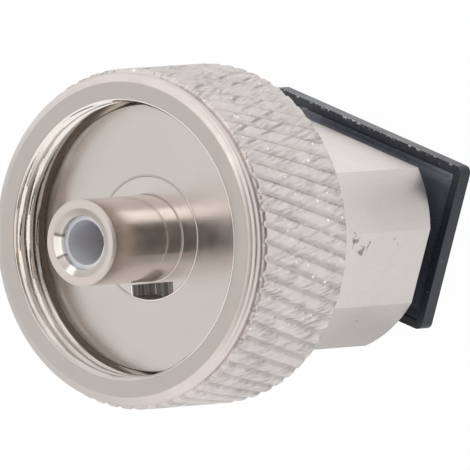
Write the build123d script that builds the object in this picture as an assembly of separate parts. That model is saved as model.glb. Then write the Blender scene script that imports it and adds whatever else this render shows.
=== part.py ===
from build123d import *
import math
import os

# Adapter that joins a push-pull optical plug to the threaded port of a reflectometer.
# A knurled nut turns freely on a turned body, whose other end is the rectangular plug port.
# Millimetres. +Z runs from the dust cap up to the sleeve tube, the origin is on the common
# axis at the dust cap's rear face, +X is the port's long side and +Y its key side.

# Coupling nut
nut_wall = 1.41             # from the thread's root to the knurl's crests
nut_length = 8.2
nut_proud = 2.23            # the nut's face stands this far above the body's front disk
thread_pitch = 0.75
thread_profile = 0.54127    # depth of the thread as a part of its pitch
thread_length = 2.05
thread_relief = 1.15        # length of the undercut behind the thread, as deep as its root
mouth_chamfer = 0.16
face_width = 0.9            # flat ring around the nut's mouth
edge_chamfer_run = 0.28
edge_chamfer_drop = 0.17
bead_run = 0.27
bead_drop = 0.28
neck_depth = 0.10           # narrow neck between the bead and the knurl
neck_length = 0.20
rear_bevel = 0.28
bore_chamfer = 0.2

# Knurl: right-hand helical ridges, rolled
knurl_ridges = 63
knurl_depth = 0.12
knurl_groove_width = 0.36
knurl_helix = 16.5          # degrees from the axis
knurl_bevel = 0.22

# Receptacle body
body_length = 16.27
corner_wall = 1.28          # outside the port's corners
thread_step = 0.894         # radial, from the body up to the thread's root: makes it M16
flange_thickness = 2.5
flange_gap = 0.16           # radial, to the crests of the thread
wall_at_key = 1.44          # from the port to the milled flat on the key side
wall_opposite = 1.85        # the same on the other long side
wall_at_side = 2.26         # from the port's short sides to the milled flats
flats_inside_nut = 0.7
body_edge = 0.1
flange_edge = 0.08
web_thickness = 2.77        # wall between the front disk and the port

# Plug port
port_width = 9.0
port_height = 7.4
port_corner = 0.3
key_width = 2.4
key_depth = 0.95
key_length = 9.0

# Retaining ring, sprung into grooves of the body and the nut
ring_thickness = 0.6
ring_height = 1.05          # radial
ring_groove_depth = 0.5     # in the body
ring_gap_angle = 24.0
ring_offset = 0.8           # from the nut's shoulder to the ring

# Sleeve holder
tube_diameter = 4.8
tube_reach = 6.03           # from the front disk to the tube's tip
tube_edge = 0.1
spigot_diameter = 6.88
spigot_edge = 0.05
mouth_diameter = 3.0
countersink_diameter = 4.06
countersink_depth = 0.22
sleeve_recess = 0.5
holder_flange_diameter = 7.2
holder_flange_thickness = 0.6
slot_width = 2.9
slot_depth = 2.1
slot_inset = 0.1            # from the tube's foot to the slot's flat inner wall
slot_angle = -66.5          # direction of the key slot about +Z, from +X

# Split sleeve
ferrule_diameter = 2.5
sleeve_wall = 0.35
sleeve_length = 11.4
sleeve_slit = 0.55
slit_angle = 23.5           # direction of the slit about +Z, from +X

# Latch insert
insert_base = 1.2
barrel_diameter = 4.3
barrel_length = 2.2
barrel_lip = 0.15
arm_thickness = 0.65
arm_width = 3.6
arm_flex_gap = 0.4          # room for an arm to spring outwards
arm_tip_depth = 3.06        # from the port's face to the tips of the arms
hook_reach = 0.6
hook_length = 1.3
hook_lead = 0.45

# Dust cap
cap_overhang = 2.44         # beyond the port's short sides
cap_overhang_key = 2.05     # beyond the port on the key side
cap_overhang_plain = 0.145  # beyond the port on the other side
cap_thickness = 1.0
cap_corner = 0.4
cap_edge = 0.1
cap_standoff = 1.15         # free gap between the cap's rim and the port's face
rim_width = 0.45
tray_depth = 0.45
tray_slope = 0.5
plug_length = 8.56          # beyond the tray's floor
plug_corner = 0.4
plug_wall = 0.75
plug_tip_bevel = 0.25

# Clearances
running_clearance = 0.05    # nut on the body, ring in the nut's groove
press_clearance = 0.02      # pieces pushed together for good
sleeve_clearance = 0.05
plug_clearance = 0.05       # cap in the port
arm_clearance = 0.2         # cap around the arms

# Planes along the axis, from the dust cap's rear face upwards
port_face_z = cap_thickness + cap_standoff
disk_z = port_face_z + body_length
tube_tip_z = disk_z + tube_reach
nut_face_z = disk_z + nut_proud
nut_rear_z = nut_face_z - nut_length
relief_top_z = nut_face_z - thread_length
relief_bottom_z = relief_top_z - thread_relief
flange_rear_z = disk_z - flange_thickness
shoulder_z = flange_rear_z - 2 * running_clearance
ring_top_z = shoulder_z - ring_offset
ring_bottom_z = ring_top_z - ring_thickness
port_floor_z = disk_z - web_thickness
flats_top_z = nut_rear_z + flats_inside_nut
sleeve_top_z = tube_tip_z - sleeve_recess
sleeve_bottom_z = sleeve_top_z - sleeve_length
insert_top_z = port_floor_z - holder_flange_thickness - press_clearance
insert_base_z = insert_top_z - insert_base
barrel_end_z = insert_base_z - barrel_length
arm_tip_z = port_face_z + arm_tip_depth
tray_floor_z = cap_thickness - tray_depth
plug_end_z = tray_floor_z + plug_length

# Widths across
flats_height = port_height + wall_at_key + wall_opposite
flats_shift = (wall_at_key - wall_opposite) / 2
flats_width = port_width + 2 * wall_at_side
cap_width = port_width + 2 * cap_overhang
cap_height = port_height + cap_overhang_key + cap_overhang_plain
cap_shift = (cap_overhang_key - cap_overhang_plain) / 2

# Radii
body_radius = math.hypot(port_width, port_height) / 2 + corner_wall
thread_root_radius = body_radius + thread_step
thread_crest_radius = thread_root_radius - thread_profile * thread_pitch
nut_radius = thread_root_radius + nut_wall
knurl_root_radius = nut_radius - knurl_depth
nut_bore_radius = body_radius + running_clearance
flange_radius = thread_crest_radius - flange_gap
ring_inner_radius = body_radius - ring_groove_depth + running_clearance
ring_outer_radius = ring_inner_radius + ring_height
tube_radius = tube_diameter / 2
spigot_radius = spigot_diameter / 2
sleeve_radius = ferrule_diameter / 2 + sleeve_wall
sleeve_bore_radius = sleeve_radius + sleeve_clearance


def turned(points):
    """Solid of revolution about Z from a closed outline of (radius, height) points."""
    return revolve(Plane.XZ * make_face(Polyline(*points, close=True)), Axis.Z)


def ring(outer, inner, bottom, top):
    """Plain ring with its axis on Z."""
    return turned([(inner, bottom), (outer, bottom), (outer, top), (inner, top)])


def disk(radius, bottom, top):
    """Plain round bar with its axis on Z."""
    return Pos(0, 0, bottom) * extrude(Circle(radius), amount=top - bottom)


def block(width, height, bottom, top, x=0.0, y=0.0, corner=0.0):
    """Upright bar of rectangular section, with rounded upright edges if a corner is given."""
    section = RectangleRounded(width, height, corner) if corner else Rectangle(width, height)
    return Pos(x, y, bottom) * extrude(section, amount=top - bottom)


def polar(radius, degrees):
    """Point on a circle about the axis."""
    angle = math.radians(degrees)
    return (radius * math.cos(angle), radius * math.sin(angle))


def knurled_band(bottom, top):
    """Band of helical ridges: a many-pointed section, turned about the axis as it rises."""
    step = 360 / knurl_ridges
    half_groove = math.degrees(knurl_groove_width / 2 / nut_radius)
    edges = []
    for ridge in range(knurl_ridges):
        start = ridge * step
        root = polar(knurl_root_radius, start)
        rise = polar(nut_radius, start + half_groove)
        crest = polar(nut_radius, start + step / 2)
        fall = polar(nut_radius, start + step - half_groove)
        next_root = polar(knurl_root_radius, start + step)
        edges += [Line(root, rise), ThreePointArc(rise, crest, fall), Line(fall, next_root)]
    section = (Pos(0, 0, bottom) * make_face(edges)).face()
    height = top - bottom
    twist = math.degrees(height * math.tan(math.radians(knurl_helix)) / nut_radius)
    return Solid.extrude_linear_with_rotation(section, (0, 0, bottom), (0, 0, height), twist)


def coupling_nut():
    """Knurled nut, threaded at its mouth and bored to turn on the body."""
    mouth_radius = thread_crest_radius + mouth_chamfer
    face_radius = mouth_radius + face_width
    bead_start = (face_radius + edge_chamfer_run, nut_face_z - edge_chamfer_drop)
    bead_end = (bead_start[0] + bead_run, bead_start[1] - bead_drop)
    bead_middle = ((bead_start[0] + 2 * bead_end[0]) / 3, (2 * bead_start[1] + bead_end[1]) / 3)
    neck_radius = bead_end[0] - neck_depth
    neck_z = bead_end[1] - neck_depth
    knurl_top_z = neck_z - neck_length
    rear_radius = nut_radius - rear_bevel

    outline = [
        Polyline((0, nut_rear_z), (0, nut_face_z), (face_radius, nut_face_z), bead_start),
        ThreePointArc(bead_start, bead_middle, bead_end),
        Polyline(
            bead_end,
            (neck_radius, neck_z),
            (neck_radius, knurl_top_z),
            (nut_radius, knurl_top_z - knurl_bevel),
            (nut_radius, nut_rear_z + rear_bevel),
            (rear_radius, nut_rear_z),
            (0, nut_rear_z),
        ),
    ]
    blank = revolve(Plane.XZ * make_face(outline), Axis.Z)
    head = disk(nut_radius, knurl_top_z, nut_face_z)
    blank = blank & (head + knurled_band(nut_rear_z, knurl_top_z))

    bore = turned([
        (0, nut_rear_z),
        (nut_bore_radius + bore_chamfer, nut_rear_z),
        (nut_bore_radius, nut_rear_z + bore_chamfer),
        (nut_bore_radius, shoulder_z),
        (thread_crest_radius, shoulder_z),
        (thread_crest_radius, relief_bottom_z),
        (thread_root_radius, relief_bottom_z),
        (thread_root_radius, relief_top_z),
        (thread_crest_radius, relief_top_z),
        (thread_crest_radius, nut_face_z - mouth_chamfer),
        (mouth_radius, nut_face_z),
        (0, nut_face_z),
    ])
    ring_groove = disk(
        ring_outer_radius + 2 * running_clearance,
        ring_bottom_z - running_clearance,
        ring_top_z + running_clearance,
    )
    return blank - bore - ring_groove


def retaining_ring():
    """Open spring ring that keeps the nut on the body."""
    closed = ring(ring_outer_radius, ring_inner_radius, ring_bottom_z, ring_top_z)
    reach = 2 * ring_outer_radius
    far = [polar(reach, side * ring_gap_angle / 2) for side in (-1, 1)]
    gap = extrude(make_face(Polyline((0, 0), *far, close=True)), amount=ring_thickness)
    return closed - Pos(0, 0, ring_bottom_z) * gap


def receptacle_body():
    """Turned bar with milled flats: flange disk in front, shank under the nut, port behind."""
    shank = disk(body_radius, flats_top_z, flange_rear_z)
    rear = disk(body_radius, port_face_z, flats_top_z)
    rear = rear & block(flats_width, flats_height, port_face_z, flats_top_z, y=flats_shift)
    rear = chamfer(rear.faces().sort_by(Axis.Z)[0].edges(), body_edge)
    flange = disk(flange_radius, flange_rear_z, disk_z)
    flange = chamfer(flange.faces().sort_by(Axis.Z)[-1].edges(), flange_edge)
    body = rear + shank + flange

    groove = ring(
        body_radius + running_clearance,
        body_radius - ring_groove_depth,
        ring_bottom_z - running_clearance,
        ring_top_z + running_clearance,
    )
    spigot_hole = disk(spigot_radius + press_clearance, port_floor_z, disk_z)
    cavity = block(port_width, port_height, port_face_z, port_floor_z, corner=port_corner)
    keyway = block(
        key_width,
        2 * key_depth,
        port_face_z,
        port_face_z + key_length,
        y=port_height / 2,
    )
    return body - groove - spigot_hole - cavity - keyway


def sleeve_holder():
    """Tube that carries the split sleeve, with a key slot in the spigot at its foot."""
    mouth_radius = mouth_diameter / 2
    holder_bottom_z = insert_top_z + press_clearance
    holder_flange_radius = holder_flange_diameter / 2
    spigot = turned([
        (0, holder_bottom_z),
        (holder_flange_radius, holder_bottom_z),
        (holder_flange_radius, port_floor_z),
        (spigot_radius, port_floor_z),
        (spigot_radius, disk_z - spigot_edge),
        (spigot_radius - spigot_edge, disk_z),
        (0, disk_z),
    ])
    slot_start = tube_radius + slot_inset
    slot = block(
        spigot_radius,
        slot_width,
        disk_z - slot_depth,
        disk_z,
        x=slot_start + spigot_radius / 2,
    )
    tube = disk(tube_radius, holder_bottom_z, tube_tip_z)
    tube = chamfer(tube.faces().sort_by(Axis.Z)[-1].edges(), tube_edge)
    inside = turned([
        (0, holder_bottom_z),
        (sleeve_bore_radius, holder_bottom_z),
        (sleeve_bore_radius, sleeve_top_z + press_clearance),
        (mouth_radius, sleeve_top_z + press_clearance),
        (mouth_radius, tube_tip_z - countersink_depth),
        (countersink_diameter / 2, tube_tip_z),
        (0, tube_tip_z),
    ])
    return (spigot - Rot(0, 0, slot_angle) * slot) + tube - inside


def split_sleeve():
    """Slit alignment sleeve, in which the two ferrules meet."""
    sleeve = ring(sleeve_radius, ferrule_diameter / 2, sleeve_bottom_z, sleeve_top_z)
    slit = block(sleeve_radius, sleeve_slit, sleeve_bottom_z, sleeve_top_z, x=sleeve_radius)
    return sleeve - Rot(0, 0, slit_angle) * slit


def latch_arm():
    """Spring arm on the +X side, with a hook that catches the plug's housing."""
    outer_x = port_width / 2 - arm_flex_gap
    inner_x = outer_x - arm_thickness
    outline = Polyline(
        (inner_x, insert_top_z),
        (outer_x, insert_top_z),
        (outer_x, arm_tip_z + hook_lead),
        (outer_x - hook_lead / 2, arm_tip_z),
        (inner_x, arm_tip_z),
        (inner_x - hook_reach, arm_tip_z + hook_lead),
        (inner_x - hook_reach, arm_tip_z + hook_length - hook_lead),
        (inner_x, arm_tip_z + hook_length),
        close=True,
    )
    return extrude(Plane.XZ * make_face(outline), amount=arm_width / 2, both=True)


def latch_insert():
    """Moulded insert: base pressed into the port, barrel around the sleeve, two hooked arms."""
    base = block(
        port_width - 2 * press_clearance,
        port_height - 2 * press_clearance,
        insert_base_z,
        insert_top_z,
        corner=port_corner,
    )
    barrel = disk(barrel_diameter / 2, barrel_end_z, insert_base_z)
    arm = latch_arm()
    sleeve_bore = disk(sleeve_bore_radius, sleeve_bottom_z - press_clearance, insert_top_z)
    ferrule_entry = disk(sleeve_radius - barrel_lip, barrel_end_z, sleeve_bottom_z)
    return base + barrel + arm + mirror(arm, Plane.YZ) - sleeve_bore - ferrule_entry


def dust_cap():
    """Moulded cap: a shallow tray as its flange and a hollow plug that fits the port."""
    flange = block(cap_width, cap_height, 0, cap_thickness, y=cap_shift, corner=cap_corner)
    flange = chamfer(flange.faces().sort_by(Axis.Z)[0].edges(), cap_edge)
    mouth_width = cap_width - 2 * rim_width
    mouth_height = cap_height - 2 * rim_width
    mouth = Pos(0, cap_shift, cap_thickness) * Rectangle(mouth_width, mouth_height)
    floor = Pos(0, cap_shift, tray_floor_z) * Rectangle(
        mouth_width - 2 * tray_slope,
        mouth_height - 2 * tray_slope,
    )
    tray = loft([floor, mouth], ruled=True)

    plug = block(
        port_width - 2 * plug_clearance,
        port_height - 2 * plug_clearance,
        tray_floor_z,
        plug_end_z,
        corner=plug_corner,
    )
    plug = chamfer(plug.faces().sort_by(Axis.Z)[-1].edges(), plug_tip_bevel)
    hook_inner_x = port_width / 2 - arm_flex_gap - arm_thickness - hook_reach
    core_half = hook_inner_x - arm_clearance
    slot_width_x = port_width
    slots = [
        block(
            slot_width_x,
            arm_width + 2 * arm_clearance,
            arm_tip_z - running_clearance,
            plug_end_z,
            x=side * (core_half + slot_width_x / 2),
        )
        for side in (-1, 1)
    ]
    hollow = block(
        2 * (core_half - plug_wall),
        port_height - 2 * plug_clearance - 2 * plug_wall,
        tray_floor_z + plug_wall,
        plug_end_z,
    )
    return (flange - tray) + (plug - slots - hollow)


pieces = {
    "coupling_nut": coupling_nut(),
    "retaining_ring": retaining_ring(),
    "receptacle_body": receptacle_body(),
    "sleeve_holder": sleeve_holder(),
    "split_sleeve": split_sleeve(),
    "latch_insert": latch_insert(),
    "dust_cap": dust_cap(),
}

os.makedirs("parts", exist_ok=True)
for name, piece in pieces.items():
    export_step(piece, f"parts/{name}.step")
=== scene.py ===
import math

import bpy
import numpy as np
from mathutils import Matrix, Vector


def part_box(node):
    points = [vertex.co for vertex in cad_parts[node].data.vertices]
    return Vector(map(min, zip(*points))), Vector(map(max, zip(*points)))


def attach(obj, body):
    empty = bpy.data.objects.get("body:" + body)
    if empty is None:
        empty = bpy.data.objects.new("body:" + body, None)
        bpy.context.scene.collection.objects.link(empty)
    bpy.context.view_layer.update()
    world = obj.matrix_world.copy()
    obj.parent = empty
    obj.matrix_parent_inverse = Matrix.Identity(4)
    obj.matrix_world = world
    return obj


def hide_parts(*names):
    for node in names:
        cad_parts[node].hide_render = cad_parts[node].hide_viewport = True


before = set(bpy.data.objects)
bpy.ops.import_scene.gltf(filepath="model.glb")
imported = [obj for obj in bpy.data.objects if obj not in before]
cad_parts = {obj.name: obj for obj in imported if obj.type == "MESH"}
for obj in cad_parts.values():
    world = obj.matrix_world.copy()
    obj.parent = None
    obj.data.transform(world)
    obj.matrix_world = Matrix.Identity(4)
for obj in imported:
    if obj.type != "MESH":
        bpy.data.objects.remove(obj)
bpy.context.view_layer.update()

MM = 0.001

# Photograph: its size in pixels, the scale at the nut's face and where that face's centre lies,
# then the lens and the camera's right and up
PHOTO_SIZE = 470
PIXELS_PER_MM = 18.175
FACE_CENTRE_PX = (123.3, 239.8)
FOCAL_PX = 22000.0
CAMERA_RIGHT = (0.7480, 0.2371, -0.6198)
CAMERA_UP = (-0.3352, 0.9412, -0.0445)

# Places from the frame
nut_low, nut_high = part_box("coupling_nut")
cap_low, cap_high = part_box("dust_cap")
NUT_RADIUS = (nut_high.y - nut_low.y) / 2
NUT_FACE_Z = nut_high.z
NUT_REAR_Z = nut_low.z
DISK_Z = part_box("receptacle_body")[1].z
TIP_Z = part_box("sleeve_holder")[1].z
CAP_HALF_X = (cap_high.x - cap_low.x) / 2
CAP_HALF_Y = (cap_high.y - cap_low.y) / 2
CAP_MIDDLE_Y = (cap_high.y + cap_low.y) / 2
CAP_TOP_Y = cap_high.y

# The cap's rim above its base, and the edge of the cone in the tube's mouth
CAP_RIM_Z = 1.0 * MM
CONE_RADIUS = 1.93 * MM

WHITE = (1.0, 1.0, 1.0, 1.0)


# Mesh helpers

# Soft noise: the fewest and most waves round the axis, and the steepest rise along it per mm
WAVES_AROUND = (20, 190)
WAVE_RISE = 9.0


def grid_mesh(name, radius, height, angle):
    """Closed ring of quads: rows run round the section, columns round the axis."""
    rows, columns = radius.shape
    points = np.stack([radius * np.cos(angle), radius * np.sin(angle), height], axis=-1)
    row, column = np.meshgrid(np.arange(rows), np.arange(columns), indexing="ij")
    next_row, next_column = (row + 1) % rows, (column + 1) % columns
    faces = np.stack(
        [
            row * columns + column,
            next_row * columns + column,
            next_row * columns + next_column,
            row * columns + next_column,
        ],
        axis=-1,
    )
    mesh = bpy.data.meshes.new(name)
    mesh.from_pydata(points.reshape(-1, 3).tolist(), [], faces.reshape(-1, 4).tolist())
    mesh.update()
    piece = bpy.data.objects.new(name, mesh)
    bpy.context.scene.collection.objects.link(piece)
    return piece


def smooth(mesh, degrees):
    """Smooth shading with sharp edges above the given angle."""
    mesh.shade_smooth()
    mesh.set_sharp_from_angle(angle=math.radians(degrees))


def soft_noise(angle, height, waves, seed):
    """Smooth pseudo-random field on a cylinder, a sum of fixed waves, mostly within -1 to 1."""
    rng = np.random.default_rng(seed)
    total = np.zeros(np.broadcast(angle, height).shape)
    for _ in range(waves):
        around = rng.integers(*WAVES_AROUND)
        along = rng.uniform(-WAVE_RISE, WAVE_RISE) / MM
        total += np.sin(around * angle + along * height + rng.uniform(0, 2 * math.pi))
    return total / math.sqrt(waves)


# Coupling nut

# Face with the rounded edge of its mouth, as steps outwards and down in millimetres
MOUTH_RADIUS = 7.754 * MM
MOUTH_ROUND = ((0.0, 0.045), (0.03, 0.014), (0.09, 0.0))
FACE_RADIUS = 8.654 * MM

# Rounded bead round the face: how far below the face it starts and how high it is, then the neck
BEAD_START = FACE_RADIUS + 0.28 * MM
BEAD_WIDTH = 0.27 * MM
BEAD_TOP = 0.18 * MM
BEAD_DROP = 0.28 * MM
NECK_RADIUS = BEAD_START + BEAD_WIDTH - 0.09 * MM
NECK_TOP = 0.55 * MM

# Distance from a sharp edge to the extra row beside it, and the number of rows along the bead,
# each bevel, the knurl and the thread
SHARP = 0.02 * MM
BEAD_ROWS = 7
BEVEL_ROWS = 4
KNURL_ROWS = 48
THREAD_ROWS = 36

# Knurl: groove half widths, wander and samples are in pitches, and a bevel is its length and cut;
# the right-hand ridges follow only a share of the wander
KNURL_RIDGES = 63
KNURL_HELIX = math.radians(16.5)
KNURL_START = 0.75 * MM
KNURL_DEPTH = 0.12 * MM
KNURL_GROOVE = 0.30
KNURL_FRONT_Z = NUT_FACE_Z - 0.85 * MM
KNURL_WANDER = 0.03
WANDER_SHARE = 0.4
HATCH_DEPTH = 0.02 * MM
HATCH_GROOVE = 0.2
DENT_DEPTH = 0.006 * MM
FRONT_BEVEL = (0.14 * MM, 0.16 * MM)
REAR_BEVEL = (0.28 * MM, 0.28 * MM)
RIDGE_SAMPLES = (0.0, 0.06, 0.12, 0.18, 0.24, 0.31, 0.5, 0.69, 0.76, 0.82, 0.88, 0.94)

# Bore on the shank and its shoulder below the disk
SHANK_BORE = 7.156 * MM
BORE_CHAMFER = 0.2 * MM
SHOULDER_DROP = 2.6 * MM

# Thread: the crest's half width and the flank's width are in pitches
THREAD_PITCH = 0.75 * MM
THREAD_CREST = 7.594 * MM
THREAD_ROOT = 7.97 * MM
THREAD_LENGTH = 2.0 * MM
THREAD_PHASE = 0.64
CREST_HALF = 0.19
FLANK_WIDTH = 0.27
THREAD_START = 0.05 * MM
THREAD_FADE = 0.15 * MM
UNDERCUT_RADIUS = 8.0 * MM
UNDERCUT_LENGTH = 1.0 * MM
UNDERCUT_SLOPE = 0.1 * MM


def ridge_drop(phase, depth, half_width):
    """How far a grooved surface lies below its crests, for a phase in pitches."""
    distance = np.clip(np.abs(phase - np.round(phase)) / half_width, 0, 1)
    return depth * 0.5 * (1 + np.cos(math.pi * distance))


def nut_piece():
    """The nut with its knurl, bead and thread, as one closed mesh."""
    step = 2 * math.pi / KNURL_RIDGES
    columns = np.concatenate([(k + np.array(RIDGE_SAMPLES)) * step for k in range(KNURL_RIDGES)])
    radii, heights, angles, groove, knurled = [], [], [], [], []

    def row(radius, height, twist=0.0, dark=0.0):
        radii.append(np.broadcast_to(radius, columns.shape))
        heights.append(np.broadcast_to(height, columns.shape))
        angles.append(columns + twist)
        groove.append(np.broadcast_to(dark, columns.shape))
        knurled.append(0.0)

    top = NUT_FACE_Z
    knurl_top = top - KNURL_START
    knurl_bottom = NUT_REAR_Z
    bevel_top, cut_top = FRONT_BEVEL
    bevel_bottom, cut_bottom = REAR_BEVEL
    twist_per_m = math.tan(KNURL_HELIX) / NUT_RADIUS
    top_twist = (knurl_top - knurl_bottom) * twist_per_m

    # Rounded mouth edge, face, chamfer, bead and neck, with extra rows beside each sharp edge
    for outwards, down in MOUTH_ROUND:
        row(MOUTH_RADIUS + outwards * MM, top - down * MM)
    row((MOUTH_RADIUS + FACE_RADIUS) / 2, top)
    row(FACE_RADIUS - SHARP, top, top_twist)
    row(FACE_RADIUS + SHARP, top - 0.6 * SHARP, top_twist)
    row(BEAD_START - SHARP, top - BEAD_TOP + SHARP, top_twist)
    for part in np.linspace(0, 1, BEAD_ROWS):
        swell = math.sin(part * math.pi / 2)
        sink = 1 - math.cos(part * math.pi / 2)
        row(BEAD_START + BEAD_WIDTH * swell, top - BEAD_TOP - BEAD_DROP * sink, top_twist)
    row(NECK_RADIUS, top - NECK_TOP, top_twist)
    row(NECK_RADIUS, knurl_top + SHARP, top_twist)

    # Knurl: right-hand ridges, a fainter left-hand hatch and shallow dents
    knurl_rows = np.concatenate(
        [
            np.linspace(knurl_top, knurl_top - bevel_top, BEVEL_ROWS),
            np.linspace(knurl_top - bevel_top, knurl_bottom + bevel_bottom, KNURL_ROWS)[1:-1],
            np.linspace(knurl_bottom + bevel_bottom, knurl_bottom, BEVEL_ROWS),
        ]
    )
    for height in knurl_rows:
        twist = (height - knurl_bottom) * twist_per_m
        angle = columns + twist
        wander = KNURL_WANDER * soft_noise(angle, height, 12, 3)
        drop = ridge_drop(columns / step + wander * WANDER_SHARE, KNURL_DEPTH, KNURL_GROOVE)
        left_phase = (angle + (height - knurl_bottom) * twist_per_m) / step
        patch = np.clip(0.6 + 0.5 * soft_noise(angle, height, 10, 5), 0, 1.2)
        drop = drop + patch * ridge_drop(left_phase + wander, HATCH_DEPTH, HATCH_GROOVE)
        drop = drop + DENT_DEPTH * soft_noise(angle, height, 24, 11)
        from_top = (knurl_top - height) / bevel_top
        from_bottom = (height - knurl_bottom) / bevel_bottom
        bevel = cut_top * max(0.0, 1 - from_top) + cut_bottom * max(0.0, 1 - from_bottom)
        radius = np.minimum(NUT_RADIUS - drop, NUT_RADIUS - bevel)
        row(radius, height, twist, np.clip(drop / KNURL_DEPTH, 0, 1))
        knurled[-1] = 1.0

    # Rear face and bore
    shoulder = DISK_Z - SHOULDER_DROP
    row(NUT_RADIUS - cut_bottom - SHARP, knurl_bottom)
    row(SHANK_BORE + BORE_CHAMFER + SHARP, knurl_bottom)
    row(SHANK_BORE + BORE_CHAMFER, knurl_bottom)
    row(SHANK_BORE, knurl_bottom + BORE_CHAMFER)
    row(SHANK_BORE, knurl_bottom + BORE_CHAMFER + SHARP)
    row(SHANK_BORE, shoulder)

    # Undercut behind the thread, then the thread up to the mouth
    thread_low = top - THREAD_LENGTH
    row(THREAD_CREST, shoulder + SHARP)
    row(THREAD_CREST, thread_low - UNDERCUT_LENGTH - UNDERCUT_SLOPE)
    row(UNDERCUT_RADIUS, thread_low - UNDERCUT_LENGTH)
    row(UNDERCUT_RADIUS, thread_low - SHARP)
    for height in np.linspace(thread_low, top - THREAD_START, THREAD_ROWS):
        depth = top - height
        phase = (depth / THREAD_PITCH) + columns / (2 * math.pi) + THREAD_PHASE
        distance = np.abs(phase - np.round(phase))
        slope = np.clip((distance - CREST_HALF) / FLANK_WIDTH, 0, 1)
        radius = THREAD_CREST + (THREAD_ROOT - THREAD_CREST) * slope
        fade = np.clip((depth - THREAD_START) / THREAD_FADE, 0, 1)
        radius = THREAD_CREST + (radius - THREAD_CREST) * fade
        mouth_chamfer = MOUTH_RADIUS - depth
        row(np.maximum(radius, mouth_chamfer), height)

    piece = grid_mesh("nut_knurled", np.array(radii), np.array(heights), np.array(angles))
    attribute = piece.data.attributes.new("groove", "FLOAT", "POINT")
    attribute.data.foreach_set("value", np.array(groove).reshape(-1).astype(np.float32))
    worked = piece.data.attributes.new("knurl", "FLOAT", "POINT")
    spread = np.repeat(np.array(knurled), len(columns))
    worked.data.foreach_set("value", spread.astype(np.float32))
    smooth(piece.data, 38)
    return piece


# Seams round the spigot and round the tube's foot: radius, half width and rise
SPIGOT_EDGE = 3.45 * MM
SPIGOT_SEAM = 0.05 * MM
TUBE_FOOT = 2.44 * MM
FOOT_SEAM = 0.045 * MM
SEAM_RISE = 0.03 * MM
RING_COLUMNS = 180
RING_SIDES = 12


def edge_bead(name, radius, half_width):
    """Fine bead that stands on the front disk, where the plating bridges a seam."""
    columns = np.linspace(0, 2 * math.pi, RING_COLUMNS, endpoint=False)
    section = np.linspace(0, 2 * math.pi, RING_SIDES, endpoint=False)
    radii = radius + half_width * np.cos(section)[:, None] + 0 * columns
    heights = DISK_Z + SEAM_RISE * np.sin(section)[:, None] + 0 * columns
    piece = grid_mesh(name, radii, heights, np.broadcast_to(columns, radii.shape))
    smooth(piece.data, 60)
    return piece


# Key slot in the spigot: the ways out along it and across it, its left side, its depth and how
# far it reaches from the axis
SLOT_ANGLE = math.radians(-66.5)
ALONG_SLOT = Vector((math.cos(SLOT_ANGLE), math.sin(SLOT_ANGLE), 0))
ACROSS_SLOT = Vector((-ALONG_SLOT.y, ALONG_SLOT.x, 0))
SLOT_SIDE = -1.45 * MM
SLOT_DEPTH = 2.1 * MM
SLOT_REACH = (2.52 * MM, 3.09 * MM)

# Seams along the slot's left side, one at its lip and one in the corner at its floor
LIP_SEAM = 0.09 * MM
LIP_SINK = 0.02 * MM
CORNER_SEAM = 0.07 * MM
CORNER_INSET = 0.05 * MM
SEAM_SIDES = 16


def slot_seam(name, radius, side, height):
    """Fine straight bead along the slot's left side, a closed tube with rounded normals."""
    rims = []
    for reach in SLOT_REACH:
        middle = ALONG_SLOT * reach + ACROSS_SLOT * side + Vector((0, 0, height))
        for turn in np.linspace(0, 2 * math.pi, SEAM_SIDES, endpoint=False):
            upwards = Vector((0, 0, radius * math.sin(turn)))
            rims.append(middle + ACROSS_SLOT * (radius * math.cos(turn)) + upwards)
    faces = []
    for k in range(SEAM_SIDES):
        following = (k + 1) % SEAM_SIDES
        faces.append((k, following, SEAM_SIDES + following, SEAM_SIDES + k))
    faces.append(tuple(reversed(range(SEAM_SIDES))))
    faces.append(tuple(range(SEAM_SIDES, 2 * SEAM_SIDES)))
    mesh = bpy.data.meshes.new(name)
    mesh.from_pydata([tuple(point) for point in rims], [], faces)
    mesh.update()
    smooth(mesh, 60)
    piece = bpy.data.objects.new(name, mesh)
    bpy.context.scene.collection.objects.link(piece)
    return piece


# Materials

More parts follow.
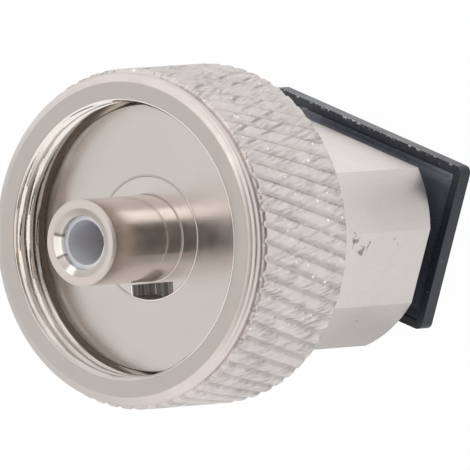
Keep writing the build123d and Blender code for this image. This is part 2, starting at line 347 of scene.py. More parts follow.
class Shader:
    """Small helper that adds and joins nodes of one material."""

    def __init__(self, name):
        self.material = bpy.data.materials.new(name)
        self.material.use_nodes = True
        self.tree = self.material.node_tree
        self.tree.nodes.clear()
        self.output = self.tree.nodes.new("ShaderNodeOutputMaterial")
        self.principled = self.tree.nodes.new("ShaderNodeBsdfPrincipled")
        self.tree.links.new(self.principled.outputs[0], self.output.inputs["Surface"])
        self.place = self.tree.nodes.new("ShaderNodeTexCoord").outputs["Object"]

    def node(self, kind, inputs=None, **settings):
        made = self.tree.nodes.new("ShaderNode" + kind)
        for key, value in settings.items():
            setattr(made, key, value)
        for key, value in (inputs or {}).items():
            self.feed(made.inputs[key], value)
        return made

    def feed(self, socket, value):
        if isinstance(value, bpy.types.NodeSocket):
            self.tree.links.new(value, socket)
        else:
            socket.default_value = value

    def math(self, operation, first, second=0.0):
        made = self.node("Math", {0: first, 1: second}, operation=operation)
        return made.outputs[0]

    def times(self, first, second):
        return self.math("MULTIPLY", first, second)

    def inverse(self, value):
        return self.math("SUBTRACT", 1.0, value)

    def from_middle(self, phase):
        """Distance of a phase from the middle of its pitch."""
        middle = self.math("SUBTRACT", self.math("FRACT", phase), 0.5)
        return self.math("ABSOLUTE", middle)

    def parts(self):
        """The place's three parts, by axis."""
        return self.node("SeparateXYZ", {0: self.place}).outputs

    def turn(self, parts):
        """Turn about the axis, 0 to 1 from the -X side by way of -Y."""
        bearing = self.math("ARCTAN2", parts["Y"], parts["X"])
        return self.range(bearing, -math.pi, math.pi, 0.0, 1.0)

    def from_axis(self, parts):
        """Distance from the object's axis."""
        flat = self.node("CombineXYZ", {0: parts["X"], 1: parts["Y"]})
        return self.vector("LENGTH", flat.outputs[0])

    def noise(self, scale, detail=3.0, rough=0.55, vector=None):
        inputs = {"Vector": vector or self.place, "Scale": scale, "Detail": detail, "Roughness": rough}
        return self.node("TexNoise", inputs).outputs["Fac"]

    def ramp(self, value, *stops):
        made = self.node("ValToRGB", {"Fac": value})
        elements = made.color_ramp.elements
        while len(elements) < len(stops):
            elements.new(0.5)
        for element, (place, colour) in zip(elements, stops):
            element.position = place
            element.color = (*colour, 1.0)
        return made.outputs["Color"]

    def vector(self, operation, first, second=(0.0, 0.0, 0.0), scale=1.0):
        other = {"Scale": scale} if operation == "SCALE" else {1: second}
        made = self.node("VectorMath", {0: first, **other}, operation=operation)
        scalar = operation in ("DOT_PRODUCT", "LENGTH", "DISTANCE")
        return made.outputs["Value" if scalar else "Vector"]

    def stroke(self, start, end, width, place):
        """Mask of a short mark between two places given in millimetres, 1 inside it."""
        first, last = Vector(start) * MM, Vector(end) * MM
        span = last - first
        reach = max(span.length_squared, 1e-12)
        offset = self.vector("SUBTRACT", place, tuple(first))
        along = self.vector("DOT_PRODUCT", offset, tuple(span / reach))
        along = self.range(along, 0.0, 1.0, 0.0, 1.0)
        nearest = self.vector("SCALE", tuple(span), scale=along)
        distance = self.vector("DISTANCE", offset, nearest)
        return self.range(distance, width * 0.45 * MM, width * MM, 1.0, 0.0)

    def range(self, value, low, high, out_low, out_high):
        inputs = {0: value, 1: low, 2: high, 3: out_low, 4: out_high}
        return self.node("MapRange", inputs, clamp=True).outputs[0]

    def blend(self, factor, first, second):
        made = self.node("Mix", data_type="RGBA")
        self.feed(made.inputs[0], factor)
        self.feed(made.inputs[6], first)
        self.feed(made.inputs[7], second)
        return made.outputs[2]

    def bump(self, height, strength, distance, normal=None):
        inputs = {"Height": height, "Strength": strength, "Distance": distance}
        if normal is not None:
            inputs["Normal"] = normal
        return self.node("Bump", inputs).outputs[0]

    def set(self, **values):
        for key, value in values.items():
            self.feed(self.principled.inputs[key.replace("_", " ")], value)


def nickel(name, light, dark, rough_low, rough_high, grain, grain_depth):
    """Plated metal: two close tones in soft patches, uneven gloss and a fine grain."""
    shader = Shader(name)
    patches = shader.noise(420.0, 4.0)
    colour = shader.ramp(patches, (0.3, dark), (0.7, light))
    gloss = shader.noise(900.0, 3.0)
    fine = shader.noise(grain, 2.0)
    shader.set(
        Base_Color=colour,
        Metallic=1.0,
        Roughness=shader.range(gloss, 0.3, 0.7, rough_low, rough_high),
        Normal=shader.bump(fine, 0.5, grain_depth),
    )
    return shader


# Tones of the nut: painted shade in the grooves, feathering, painted glints and painted highlight
# specks on the knurl, then the face and the painted shade on its edge
GROOVE_SHADE_TONE = (0.30, 0.27, 0.25, 1.0)
FEATHER_TONE = (0.36, 0.33, 0.31, 1.0)
GLINT_TONE = (0.96, 0.93, 0.91, 1.0)
SPECK_HIGHLIGHT_TONE = (1.0, 0.99, 0.97, 1.0)
FACE_TONE = (0.485, 0.45, 0.425, 1.0)
EDGE_SHADE_TONE = (0.56, 0.52, 0.495, 1.0)

# Tones of the nut's inside: bright crests, then painted shade on the last crest, in the bore behind
# and on the lower side
CREST_TONE = (0.90, 0.85, 0.81, 1.0)
LAST_CREST_SHADE_TONE = (0.30, 0.28, 0.265, 1.0)
LAST_CREST_SHADE_TINT = (0.62, 0.59, 0.57, 1.0)
BORE_SHADE_TONE = (0.93, 0.80, 0.69, 1.0)
LOWER_SIDE_SHADE_TONE = (0.66, 0.62, 0.59, 1.0)


def nut_material():
    """Satin nickel with crossed strokes, painted shade in the grooves and painted highlight specks on
    the knurl.
    """
    light, dark = (0.79, 0.725, 0.70), (0.70, 0.64, 0.615)
    shader = nickel("nickel_knurl", light, dark, 0.32, 0.42, 5200.0, 0.00001)
    groove = shader.node("Attribute", attribute_name="groove").outputs["Fac"]
    on_knurl = shader.node("Attribute", attribute_name="knurl").outputs["Fac"]
    colour = shader.principled.inputs["Base Color"].links[0].from_socket
    grain = shader.principled.inputs["Normal"].links[0].from_socket

    # Phases along the right-hand ridges and across them, in pitches
    parts = shader.parts()
    angle = shader.math("ARCTAN2", parts["Y"], parts["X"])
    around = shader.times(angle, KNURL_RIDGES / (2 * math.pi))
    lead = KNURL_RIDGES * math.tan(KNURL_HELIX) / (2 * math.pi * NUT_RADIUS)
    rise = shader.times(shader.math("SUBTRACT", parts["Z"], NUT_REAR_Z), lead)
    ridge = shader.math("SUBTRACT", around, rise)
    cross = shader.math("ADD", around, rise)
    cell = shader.node("CombineXYZ", {0: shader.math("FLOOR", ridge), 1: shader.math("FLOOR", cross)})
    chance = shader.node("TexWhiteNoise", {"Vector": cell.outputs[0]}, noise_dimensions="3D")
    drawn = shader.range(chance.outputs["Value"], 0.30, 0.75, 0.0, 1.0)

    # Painted shade in the grooves is weak on the upward side and stronger on the sides
    upward = shader.range(parts["Y"], 0.55 * NUT_RADIUS, 0.90 * NUT_RADIUS, 1.0, 0.2)

    # Short strokes left by the left-hand wheel, and finer feathering beside them
    wander = shader.range(shader.noise(1500.0, 2.0), 0.3, 0.7, -0.05, 0.05)
    beside = shader.from_middle(shader.math("ADD", cross, wander))
    line = shader.range(beside, 0.03, 0.14, 1.0, 0.0)
    short = shader.range(shader.from_middle(ridge), 0.22, 0.42, 1.0, 0.0)
    tick = shader.times(shader.times(line, short), drawn)
    woven = shader.node("CombineXYZ", {0: shader.times(cross, 5.5), 1: shader.times(ridge, 1.5)})
    feather = shader.noise(1.0, 3.0, 0.6, woven.outputs[0])
    patch = shader.range(shader.noise(620.0, 2.0), 0.42, 0.60, 0.10, 1.0)
    relief = shader.math("SUBTRACT", shader.times(feather, patch), shader.times(tick, 0.35))
    relief = shader.times(relief, on_knurl)
    worked = shader.bump(relief, 1.0, 0.00009, grain)

    # Painted highlights: small bright specks on the knurl
    dots = shader.node("TexVoronoi", {"Vector": shader.place, "Scale": 1500.0})
    pick = shader.node("SeparateColor", {0: dots.outputs["Color"]}).outputs[0]
    size = shader.range(pick, 0.20, 1.0, 0.0, 0.18)
    speck = shader.range(shader.math("SUBTRACT", size, dots.outputs["Distance"]), 0.0, 0.05, 0.0, 1.0)
    speck = shader.times(speck, on_knurl)

    # Painted shade in the grooves and strokes, then the feathering and painted glints between them
    side = shader.times(upward, shader.range(shader.noise(330.0, 2.0), 0.35, 0.65, 0.75, 1.15))
    groove_shade = shader.times(shader.range(groove, 0.0, 0.9, 0.0, 0.42), side)
    colour = shader.blend(groove_shade, colour, GROOVE_SHADE_TONE)
    deeper = shader.range(upward, 0.2, 1.0, 0.85, 0.30)
    shade = shader.times(shader.times(tick, on_knurl), deeper)
    colour = shader.blend(shade, colour, GROOVE_SHADE_TONE)
    weave = shader.times(shader.range(feather, 0.46, 0.60, 0.0, 0.55), patch)
    weave = shader.times(weave, on_knurl)
    colour = shader.blend(weave, colour, FEATHER_TONE)
    # Painted glints: pale highlights where the feathering is faint
    glint = shader.times(shader.range(feather, 0.40, 0.30, 0.0, 0.55), on_knurl)
    colour = shader.blend(glint, colour, GLINT_TONE)

    # Painted highlights: bright spots in a row where the grooves run out at the front
    from_front = shader.math("ABSOLUTE", shader.math("SUBTRACT", parts["Z"], KNURL_FRONT_Z))
    near_front = shader.range(from_front, 0.04 * MM, 0.10 * MM, 1.0, 0.0)
    spot = shader.times(near_front, shader.range(groove, 0.55, 0.8, 0.0, 0.45))
    colour = shader.blend(shader.math("MAXIMUM", speck, spot), colour, SPECK_HIGHLIGHT_TONE)
    satin = shader.range(parts["Z"], NUT_FACE_Z - 0.05 * MM, NUT_FACE_Z - 0.02 * MM, 0.0, 1.0)
    colour = shader.blend(shader.times(satin, 0.9), colour, FACE_TONE)

    # Machined thread and mouth edge, shinier than the rest; painted shade on the last crest and in the
    # bore behind, and the lower side is less shiny with painted shade
    radius = shader.from_axis(parts)
    inside = shader.range(radius, MOUTH_RADIUS, MOUTH_RADIUS + 0.01 * MM, 1.0, 0.0)
    below = shader.range(parts["Z"], NUT_FACE_Z - 0.08 * MM, NUT_FACE_Z - 0.06 * MM, 1.0, 0.0)
    inside = shader.math("MAXIMUM", inside, below)
    inside = shader.times(inside, shader.range(radius, 8.1 * MM, 8.2 * MM, 1.0, 0.0))
    # Painted shade: the last crest deep in the thread is darker, and its reflections are tinted darker
    # too
    last = shader.range(parts["Z"], NUT_FACE_Z - 1.70 * MM, NUT_FACE_Z - 1.45 * MM, 1.0, 0.0)
    bare = shader.blend(last, CREST_TONE, LAST_CREST_SHADE_TONE)
    # Painted shade: a warm brown, less metallic tone in the bore behind the thread
    bore_shade = shader.range(parts["Z"], NUT_FACE_Z - 2.34 * MM, NUT_FACE_Z - 2.26 * MM, 0.8, 0.0)
    bore_shade = shader.times(bore_shade, inside)
    bare = shader.blend(bore_shade, bare, BORE_SHADE_TONE)
    # Painted shade: the lower side of the inside is darker
    shaded_lower_side = shader.range(parts["Y"], -6.0 * MM, -3.6 * MM, 1.0, 0.0)
    shaded_lower_side = shader.times(shaded_lower_side, shader.inverse(bore_shade))
    bare = shader.blend(shaded_lower_side, bare, LOWER_SIDE_SHADE_TONE)
    colour = shader.blend(inside, colour, bare)

    # Painted shade: the rounded outer edge of the face is darker at the lower left
    toward = shader.vector("DOT_PRODUCT", shader.place, (-0.62, -0.78, 0.0))
    edge_shade = shader.range(toward, 2.0 * MM, 6.0 * MM, 0.0, 0.8)
    outside = shader.range(radius, FACE_RADIUS, FACE_RADIUS + 0.02 * MM, 0.0, 1.0)
    edge_shade = shader.times(shader.times(edge_shade, outside), shader.inverse(on_knurl))
    colour = shader.blend(edge_shade, colour, EDGE_SHADE_TONE)

    gloss = shader.principled.inputs["Roughness"].links[0].from_socket
    shine = shader.times(inside, shader.range(shaded_lower_side, 0.0, 1.0, 0.27, 0.0))
    shader.set(
        Base_Color=colour,
        Normal=worked,
        Roughness=shader.math("SUBTRACT", gloss, shine),
        Metallic=shader.inverse(shader.times(bore_shade, 0.8)),
        Specular_Tint=shader.blend(shader.times(last, inside), WHITE, LAST_CREST_SHADE_TINT),
    )
    return shader.material


# Scuffs on the milled flat and the round beside it, and two on the disk: start, end and width
# in millimetres, then the depth of tone
BODY_MARKS = (
    ((6.763, 1.94, 9.06), (6.763, 1.64, 8.91), 0.13, 0.50),
    ((6.763, 1.77, 8.93), (6.763, 1.74, 8.65), 0.14, 0.70),
    ((6.763, 1.80, 8.67), (6.763, 1.94, 8.52), 0.09, 0.32),
    ((6.763, 1.64, 8.99), (6.763, 1.37, 8.91), 0.07, 0.35),
    ((6.763, 2.46, 9.04), (6.763, 2.23, 9.03), 0.08, 0.30),
    ((6.763, 2.23, 9.03), (6.763, 2.04, 8.85), 0.08, 0.35),
    ((6.763, 1.10, 8.36), (6.763, 0.94, 7.99), 0.12, 0.60),
    ((6.763, 0.96, 7.99), (6.763, 1.30, 7.88), 0.12, 0.65),
    ((6.763, 1.11, 8.20), (6.763, 1.20, 7.97), 0.14, 0.65),
    ((6.763, 1.46, 8.23), (6.763, 1.35, 7.95), 0.08, 0.40),
    ((6.763, 1.64, 7.47), (6.763, 1.38, 7.57), 0.09, 0.70),
    ((6.763, 1.38, 7.57), (6.763, 1.12, 7.60), 0.06, 0.32),
    ((6.763, 0.93, 7.60), (6.763, 0.91, 7.70), 0.05, 0.28),
    ((6.763, 1.67, 5.37), (6.763, 1.81, 5.20), 0.07, 0.40),
    ((6.763, 1.48, 4.89), (6.763, 1.36, 4.80), 0.06, 0.40),
    ((6.763, -0.62, 6.57), (6.763, -0.64, 6.55), 0.06, 0.40),
    ((7.08, -0.62, 8.61), (7.08, -0.64, 8.59), 0.06, 0.35),
    ((6.88, -1.78, 7.03), (6.88, -1.80, 7.00), 0.06, 0.35),
    ((6.36, -3.17, 6.31), (6.36, -3.19, 6.28), 0.08, 0.35),
    ((-0.09, 5.29, 18.42), (-0.10, 5.31, 18.42), 0.05, 0.60),
    ((-1.50, 4.43, 18.42), (-1.52, 4.44, 18.42), 0.04, 0.50),
)
SCUFF_TONE = (0.10, 0.08, 0.078, 1.0)
SCUFF_JITTER = 0.16 * MM
BODY_SPECK_TONE = (0.56, 0.53, 0.52, 1.0)

# How much shinier the disk is than the body
DISK_SHINE = 0.30


def body_material():
    """Satin nickel with scuffs on the flats; the front disk is finely turned and shinier."""
    light, dark = (0.84, 0.785, 0.755), (0.80, 0.745, 0.715)
    shader = nickel("nickel_body", light, dark, 0.30, 0.38, 9000.0, 0.000005)
    colour = shader.principled.inputs["Base Color"].links[0].from_socket
    gloss = shader.principled.inputs["Roughness"].links[0].from_socket
    specked = shader.range(shader.noise(9500.0, 3.0, 0.7), 0.36, 0.64, 0.0, 0.24)
    colour = shader.blend(specked, colour, BODY_SPECK_TONE)

    height = shader.parts()["Z"]
    front = shader.range(height, DISK_Z - 0.3 * MM, DISK_Z - 0.2 * MM, 0.0, 1.0)
    turned = shader.noise(260.0, 3.0)
    disk = shader.ramp(turned, (0.3, (0.58, 0.545, 0.52)), (0.7, (0.61, 0.57, 0.545)))
    colour = shader.blend(front, colour, disk)
    shine = shader.times(shader.times(gloss, DISK_SHINE), front)

    # The scuffs have ragged edges and are worn through in places
    jitter = shader.node("TexNoise", {"Vector": shader.place, "Scale": 6500.0, "Detail": 1.0})
    jitter = shader.vector("SUBTRACT", jitter.outputs["Color"], (0.5, 0.5, 0.5))
    ragged = shader.vector("ADD", shader.place, shader.vector("SCALE", jitter, scale=SCUFF_JITTER))
    worn = shader.range(shader.noise(8000.0, 2.0), 0.35, 0.60, 0.45, 1.0)
    for start, end, width, depth in BODY_MARKS:
        mark = shader.times(shader.stroke(start, end, width, ragged), depth)
        colour = shader.blend(shader.times(mark, worn), colour, SCUFF_TONE)
    shader.set(Base_Color=colour, Roughness=shader.math("SUBTRACT", gloss, shine))
    return shader.material


# Painted reflections on the cone in the tube's mouth, bright highlights and dark bands, by turn about
# the axis from the -X side
CONE_REFLECTIONS = (
    (0.000, (0.56, 0.52, 0.49)),
    (0.016, (0.16, 0.15, 0.14)),
    (0.026, (0.98, 0.95, 0.91)),
    (0.117, (0.98, 0.95, 0.91)),
    (0.128, (0.20, 0.18, 0.17)),
    (0.140, (0.64, 0.60, 0.57)),
    (0.195, (0.56, 0.52, 0.49)),
    (0.210, (1.00, 0.99, 0.97)),
    (0.240, (1.00, 0.99, 0.97)),
    (0.262, (0.52, 0.48, 0.45)),
    (0.500, (0.58, 0.54, 0.52)),
    (0.800, (0.42, 0.38, 0.355)),
    (0.930, (0.62, 0.58, 0.55)),
)

# Painted light streaks in the key slot, then the satin tones of the tip and of the spigot's front
SLOT_LIGHT_STREAKS = (
    (0.36, (0.30, 0.30, 0.305)),
    (0.46, (0.72, 0.71, 0.70)),
    (0.54, (1.0, 0.99, 0.98)),
)
TIP_TONE = (0.68, 0.62, 0.585, 1.0)
SPIGOT_TONE = (0.62, 0.58, 0.555, 1.0)


def holder_material():
    """Polished nickel with a satin tip and spigot, painted reflections on the cone and painted light
    streaks in the key slot.
    """
    light, dark = (0.83, 0.76, 0.715), (0.76, 0.69, 0.65)
    shader = nickel("nickel_tube", light, dark, 0.10, 0.17, 2600.0, 0.000002)
    colour = shader.principled.inputs["Base Color"].links[0].from_socket
    parts = shader.parts()
    height = parts["Z"]

    # The tip's face is satin, the cone inside it has painted highlights and dark bands round it
    tip = shader.range(height, TIP_Z - 0.22 * MM, TIP_Z - 0.14 * MM, 0.0, 1.0)
    colour = shader.blend(tip, colour, TIP_TONE)
    radius = shader.from_axis(parts)
    cone = shader.range(radius, CONE_RADIUS - 0.04 * MM, CONE_RADIUS - 0.01 * MM, 1.0, 0.0)
    cone = shader.times(cone, shader.range(height, TIP_Z - 0.8 * MM, TIP_Z - 0.7 * MM, 0.0, 1.0))
    colour = shader.blend(cone, colour, shader.ramp(shader.turn(parts), *CONE_REFLECTIONS))

    # The spigot's front is satin like the disk around it, and the slot in it has painted light streaks
    front = shader.range(height, DISK_Z + 0.01 * MM, DISK_Z + 0.02 * MM, 1.0, 0.0)
    colour = shader.blend(front, colour, SPIGOT_TONE)
    across = shader.vector("DOT_PRODUCT", shader.place, ACROSS_SLOT)
    lined = shader.node("CombineXYZ", {0: across, 2: height}).outputs[0]
    light_streaks = shader.ramp(shader.noise(4200.0, 2.0, 0.6, lined), *SLOT_LIGHT_STREAKS)
    deep = shader.range(height, DISK_Z - 0.30 * MM, DISK_Z - 0.14 * MM, 0.8, 0.0)
    colour = shader.blend(deep, colour, light_streaks)

    gloss = shader.principled.inputs["Roughness"].links[0].from_socket
    gloss = shader.math("ADD", gloss, shader.times(shader.math("MAXIMUM", deep, tip), 0.35))
    gloss = shader.math("ADD", gloss, shader.times(front, 0.10))

    # The tube is duller where it stands over the slot
    along = shader.vector("DOT_PRODUCT", shader.place, ALONG_SLOT)
    dull = shader.range(along, 1.4 * MM, 2.0 * MM, 0.0, 0.32)
    above = shader.range(height, DISK_Z + 0.02 * MM, DISK_Z + 0.03 * MM, 0.0, 1.0)
    under = shader.range(height, DISK_Z + 1.2 * MM, DISK_Z + 2.4 * MM, 1.0, 0.0)
    dull = shader.times(shader.times(dull, above), under)
    gloss = shader.math("ADD", gloss, dull)
    shader.set(
        Base_Color=colour,
        Metallic=shader.inverse(shader.times(deep, 0.7)),
        Roughness=gloss,
    )
    return shader.material


def bead_material():
    """Plating along the seams, bright on the tube's right side, with painted shade elsewhere."""
    light, dark = (0.92, 0.88, 0.85), (0.74, 0.69, 0.66)
    shader = nickel("nickel_bead", light, dark, 0.14, 0.24, 5200.0, 0.000004)
    colour = shader.principled.inputs["Base Color"].links[0].from_socket
    # Painted shade: the bead is darker away from the tube's right side
    toward = shader.vector("DOT_PRODUCT", shader.place, (0.94, -0.34, 0.0))
    dull = shader.range(toward, 0.5 * MM, 2.2 * MM, 0.85, 0.0)
    shader.set(Base_Color=shader.blend(dull, colour, (0.50, 0.465, 0.44, 1.0)))
    return shader.material


def burnished_material():
    """Bright plating along the key slot's left side."""
    light, dark = (1.0, 0.99, 0.98), (0.88, 0.86, 0.84)
    return nickel("nickel_burnished", light, dark, 0.2, 0.35, 5200.0, 0.000004).material


def ring_material():
    """Satin spring steel."""
    light, dark = (0.42, 0.42, 0.43), (0.36, 0.36, 0.37)
    return nickel("spring_steel", light, dark, 0.3, 0.4, 3000.0, 0.00001).material


def zirconia_material():
    """White ceramic with a faint lilac tint."""
    shader = Shader("zirconia_white")
    tint = shader.noise(700.0, 2.0)
    shader.set(
        Base_Color=shader.ramp(tint, (0.3, (0.80, 0.79, 0.84)), (0.7, (0.86, 0.85, 0.88))),
        Roughness=0.25,
        Subsurface_Weight=0.3,
        Subsurface_Scale=0.0006,
        Normal=shader.bump(shader.noise(4000.0), 0.2, 0.000005),
    )
    return shader.material


def latch_material():
    """Pale moulded polymer."""
    shader = Shader("latch_pale")
    tint = shader.noise(500.0, 3.0)
    shader.set(
        Base_Color=shader.ramp(tint, (0.3, (0.62, 0.61, 0.57)), (0.7, (0.68, 0.67, 0.63))),
        Roughness=0.5,
        Normal=shader.bump(shader.noise(2400.0), 0.3, 0.00001),
    )
    return shader.material


# Tones of the cap: painted sheen on the tray's floor, brighter painted sheen near its top wall, and
# specks and chips
TRAY_SHEEN_TONE = (0.11, 0.12, 0.15, 1.0)
TRAY_TOP_SHEEN_TONE = (0.38, 0.40, 0.48, 1.0)
CHIP_TONE = (0.62, 0.62, 0.62, 1.0)


def cap_material():
    """Blue-black moulded plastic with painted sheen in the tray, a few specks and a chipped top edge.
    """
    shader = Shader("cap_black")
    mottle = shader.noise(600.0, 4.0)
    base = shader.ramp(mottle, (0.3, (0.020, 0.024, 0.034)), (0.7, (0.034, 0.039, 0.052)))
    parts = shader.parts()
    # Painted sheen: the tray's floor is paler and bluish, most near the top wall
    tray = shader.range(parts["Z"], CAP_RIM_Z - 0.10 * MM, CAP_RIM_Z - 0.05 * MM, 1.0, 0.0)
    for axis, middle, half in (("X", 0.0, CAP_HALF_X), ("Y", CAP_MIDDLE_Y, CAP_HALF_Y)):
        offset = shader.math("ABSOLUTE", shader.math("SUBTRACT", parts[axis], middle))
        within = shader.range(offset, half - 0.30 * MM, half - 0.25 * MM, 1.0, 0.0)
        tray = shader.times(tray, within)
    near_wall = shader.range(parts["Y"], CAP_TOP_Y - 1.5 * MM, CAP_TOP_Y - 0.5 * MM, 0.0, 1.0)
    base = shader.blend(tray, base, shader.blend(near_wall, TRAY_SHEEN_TONE, TRAY_TOP_SHEEN_TONE))

    spots = shader.range(shader.noise(2600.0, 1.0), 0.76, 0.80, 0.0, 0.8)
    top_edge = shader.range(parts["Y"], CAP_TOP_Y - 0.12 * MM, CAP_TOP_Y - 0.06 * MM, 0.0, 1.0)
    front_edge = shader.range(parts["Z"], CAP_RIM_Z - 0.08 * MM, CAP_RIM_Z - 0.04 * MM, 0.0, 1.0)
    chips = shader.range(shader.noise(4600.0, 2.0), 0.55, 0.60, 0.0, 1.0)
    chips = shader.times(shader.times(top_edge, front_edge), chips)
    spots = shader.math("MAXIMUM", spots, chips)
    shader.set(
        Base_Color=shader.blend(spots, base, CHIP_TONE),
        Roughness=shader.range(shader.noise(1500.0), 0.3, 0.7, 0.22, 0.34),
        Normal=shader.bump(shader.noise(3200.0, 4.0), 0.35, 0.00003),
    )
    return shader.material


def dress(piece, material):
    """Give a piece one material in place of what it had."""
    piece.data.materials.clear()
    piece.data.materials.append(material)


# Scene

# What the studio shows in reflections, from beside the object to straight at the camera, and
# how steeply up the pale panel overhead starts and is full
STUDIO_LEVELS = ((0.0, 1.0), (0.62, 1.0), (0.84, 0.38), (0.93, 0.05))
STUDIO_TINT = (1.0, 0.99, 0.98)
PANEL_START = 0.82
PANEL_FULL = 0.87
PANEL_TONE = (1.0, 0.97, 0.93, 1.0)

# What the floor shows in reflections, far from the object and near it, by turn about the axis
# from the -X side
FAR_LEVELS = (
    (0.0, 0.80), (0.28, 0.95), (0.42, 0.95), (0.57, 0.97), (0.73, 0.95), (0.88, 0.87), (1.0, 0.80)
)
NEAR_LEVELS = (
    (0.0, 0.70), (0.38, 0.56), (0.45, 0.82), (0.51, 0.82),
    (0.60, 0.64), (0.72, 1.0), (0.85, 1.0), (1.0, 0.80),
)
NEAR_REACH = 13.5 * MM
FAR_REACH = 17.0 * MM
FLOOR_HALF = 1.5
FLOOR_GLOW = 0.975

# The lamp: what it points at, its place, width and power
MIDDLE = Vector((0, 0, 12 * MM))
KEY_PLACE = MIDDLE + Vector((0.034, 0.35, 0.448))
KEY_SIZE = 0.24
KEY_POWER = 0.20


def set_camera():
    """Camera at the photograph's angle: a long lens, rolled as the part lay in the photo."""
    forward = Vector(CAMERA_RIGHT).cross(Vector(CAMERA_UP)).normalized() * -1
    right = Vector(CAMERA_RIGHT).normalized()
    up = right.cross(forward).normalized()
    right = forward.cross(up).normalized()
    distance = FOCAL_PX / PIXELS_PER_MM * MM
    centre = PHOTO_SIZE / 2
    across = (centre - FACE_CENTRE_PX[0]) / PIXELS_PER_MM * MM
    above = (FACE_CENTRE_PX[1] - centre) / PIXELS_PER_MM * MM
    aim = Vector((0, 0, NUT_FACE_Z)) + right * across + up * above
    data = bpy.data.cameras.new("photo_camera")
    data.sensor_width = 36.0
    data.lens = FOCAL_PX * data.sensor_width / PHOTO_SIZE
    data.clip_start = 0.01
    data.clip_end = 10.0
    camera = bpy.data.objects.new("photo_camera", data)
    turn = Matrix((right, up, -forward)).transposed().to_4x4()
    camera.matrix_world = Matrix.Translation(aim - forward * distance) @ turn
    bpy.context.scene.collection.objects.link(camera)
    bpy.context.scene.camera = camera
    return forward


def set_world(forward):
    """White to the camera; a pale studio for the reflections, dimmer on the camera's side."""
    world = bpy.data.worlds.new("studio")
    bpy.context.scene.world = world
    world.use_nodes = True
    tree = world.node_tree
    tree.nodes.clear()
    place = tree.nodes.new("ShaderNodeTexCoord")
    toward = tree.nodes.new("ShaderNodeVectorMath")
    toward.operation = "DOT_PRODUCT"
    toward.inputs[1].default_value = -forward
    tree.links.new(place.outputs["Generated"], toward.inputs[0])
    ramp = tree.nodes.new("ShaderNodeValToRGB")
    tree.links.new(toward.outputs["Value"], ramp.inputs["Fac"])
    elements = ramp.color_ramp.elements
    while len(elements) < len(STUDIO_LEVELS):
        elements.new(0.5)
    for element, (position, level) in zip(elements, STUDIO_LEVELS):
        element.position = position
        element.color = (*(level * part for part in STUDIO_TINT), 1.0)
    parts = tree.nodes.new("ShaderNodeSeparateXYZ")
    tree.links.new(place.outputs["Generated"], parts.inputs[0])
    panel = tree.nodes.new("ShaderNodeMapRange")
    tree.links.new(parts.outputs["Z"], panel.inputs[0])
    panel.inputs[1].default_value = PANEL_START
    panel.inputs[2].default_value = PANEL_FULL
    lit = tree.nodes.new("ShaderNodeMix")
    lit.data_type = "RGBA"
    tree.links.new(panel.outputs[0], lit.inputs[0])
    tree.links.new(ramp.outputs["Color"], lit.inputs[6])
    lit.inputs[7].default_value = PANEL_TONE
    studio = tree.nodes.new("ShaderNodeBackground")
    tree.links.new(lit.outputs[2], studio.inputs["Color"])
    plain = tree.nodes.new("ShaderNodeBackground")
    plain.inputs["Color"].default_value = WHITE
    light_path = tree.nodes.new("ShaderNodeLightPath")
    mix = tree.nodes.new("ShaderNodeMixShader")
    tree.links.new(light_path.outputs["Is Camera Ray"], mix.inputs[0])
    tree.links.new(studio.outputs[0], mix.inputs[1])
    tree.links.new(plain.outputs[0], mix.inputs[2])
    output = tree.nodes.new("ShaderNodeOutputWorld")
    tree.links.new(mix.outputs[0], output.inputs["Surface"])


def add_lamp():
    """One soft round lamp, high up on the object's +Y side."""
    data = bpy.data.lights.new("key", "AREA")
    data.shape = "DISK"
    data.size = KEY_SIZE
    data.energy = KEY_POWER
    lamp = bpy.data.objects.new("key", data)
    lamp.location = KEY_PLACE
    lamp.rotation_euler = (MIDDLE - KEY_PLACE).to_track_quat("-Z", "Y").to_euler()
    bpy.context.scene.collection.objects.link(lamp)


def greys(levels):
    return [(place, (level, level, level)) for place, level in levels]


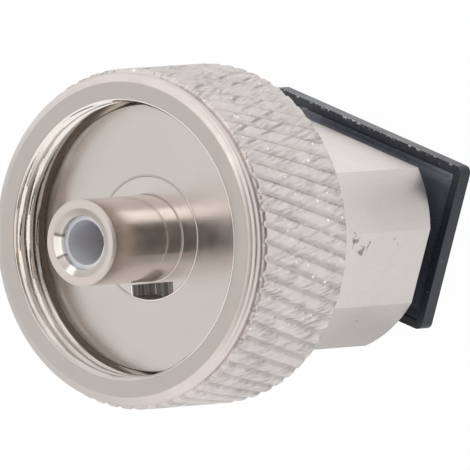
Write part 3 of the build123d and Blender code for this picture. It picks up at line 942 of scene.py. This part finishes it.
def add_floor():
    """Plain white floor that keeps a faint shadow, dimmer in reflections."""
    mesh = bpy.data.meshes.new("floor")
    half = FLOOR_HALF
    corners = [(-half, -half, 0), (half, -half, 0), (half, half, 0), (-half, half, 0)]
    mesh.from_pydata(corners, [], [(0, 1, 2, 3)])
    floor = bpy.data.objects.new("floor", mesh)
    bpy.context.scene.collection.objects.link(floor)
    shader = Shader("floor_white")
    tone = shader.noise(3.0, 2.0)
    shader.set(
        Base_Color=shader.ramp(tone, (0.3, (0.90, 0.90, 0.90)), (0.7, (0.92, 0.92, 0.92))),
        Roughness=0.9,
    )
    path = shader.node("LightPath")
    glow = shader.node("Emission", {"Strength": 1.0})
    camera_ray, clear_ray = path.outputs["Is Camera Ray"], path.outputs["Is Transmission Ray"]
    direct = shader.math("MAXIMUM", camera_ray, clear_ray)
    turn = shader.turn(shader.parts())
    far = shader.ramp(turn, *greys(FAR_LEVELS))
    near = shader.ramp(turn, *greys(NEAR_LEVELS))
    away = shader.range(shader.vector("LENGTH", shader.place), NEAR_REACH, FAR_REACH, 0.0, 1.0)
    level = shader.blend(away, near, far)
    mirrored = path.outputs["Is Glossy Ray"]
    shader.feed(glow.inputs["Color"], shader.blend(mirrored, WHITE, level))
    seen = shader.math("MAXIMUM", mirrored, shader.times(direct, FLOOR_GLOW))
    mix = shader.node("MixShader")
    shader.feed(mix.inputs[0], seen)
    shader.feed(mix.inputs[1], shader.principled.outputs[0])
    shader.feed(mix.inputs[2], glow.outputs[0])
    shader.feed(shader.output.inputs["Surface"], mix.outputs[0])
    floor.data.materials.append(shader.material)


def build():
    """The object: the nut's mesh, four seam beads and the materials of the other nodes."""
    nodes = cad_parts
    nut = nut_piece()
    dress(nut, nut_material())
    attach(nut, "coupling_nut")
    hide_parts("coupling_nut")
    plating = bead_material()
    burnished = burnished_material()
    lip_z = DISK_Z - LIP_SINK
    corner_z = DISK_Z - SLOT_DEPTH + CORNER_INSET
    beads = (
        (edge_bead("spigot_bead", SPIGOT_EDGE, SPIGOT_SEAM), plating),
        (edge_bead("foot_bead", TUBE_FOOT, FOOT_SEAM), plating),
        (slot_seam("slot_lip", LIP_SEAM, SLOT_SIDE, lip_z), burnished),
        (slot_seam("slot_corner", CORNER_SEAM, SLOT_SIDE + CORNER_INSET, corner_z), burnished),
    )
    for bead, finish in beads:
        dress(bead, finish)
        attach(bead, "adapter_body")
    dress(nodes["receptacle_body"], body_material())
    dress(nodes["sleeve_holder"], holder_material())
    dress(nodes["retaining_ring"], ring_material())
    dress(nodes["split_sleeve"], zirconia_material())
    dress(nodes["latch_insert"], latch_material())
    dress(nodes["dust_cap"], cap_material())


set_world(set_camera())
add_lamp()
add_floor()
build()
bpy.context.scene.view_settings.view_transform = "Standard"
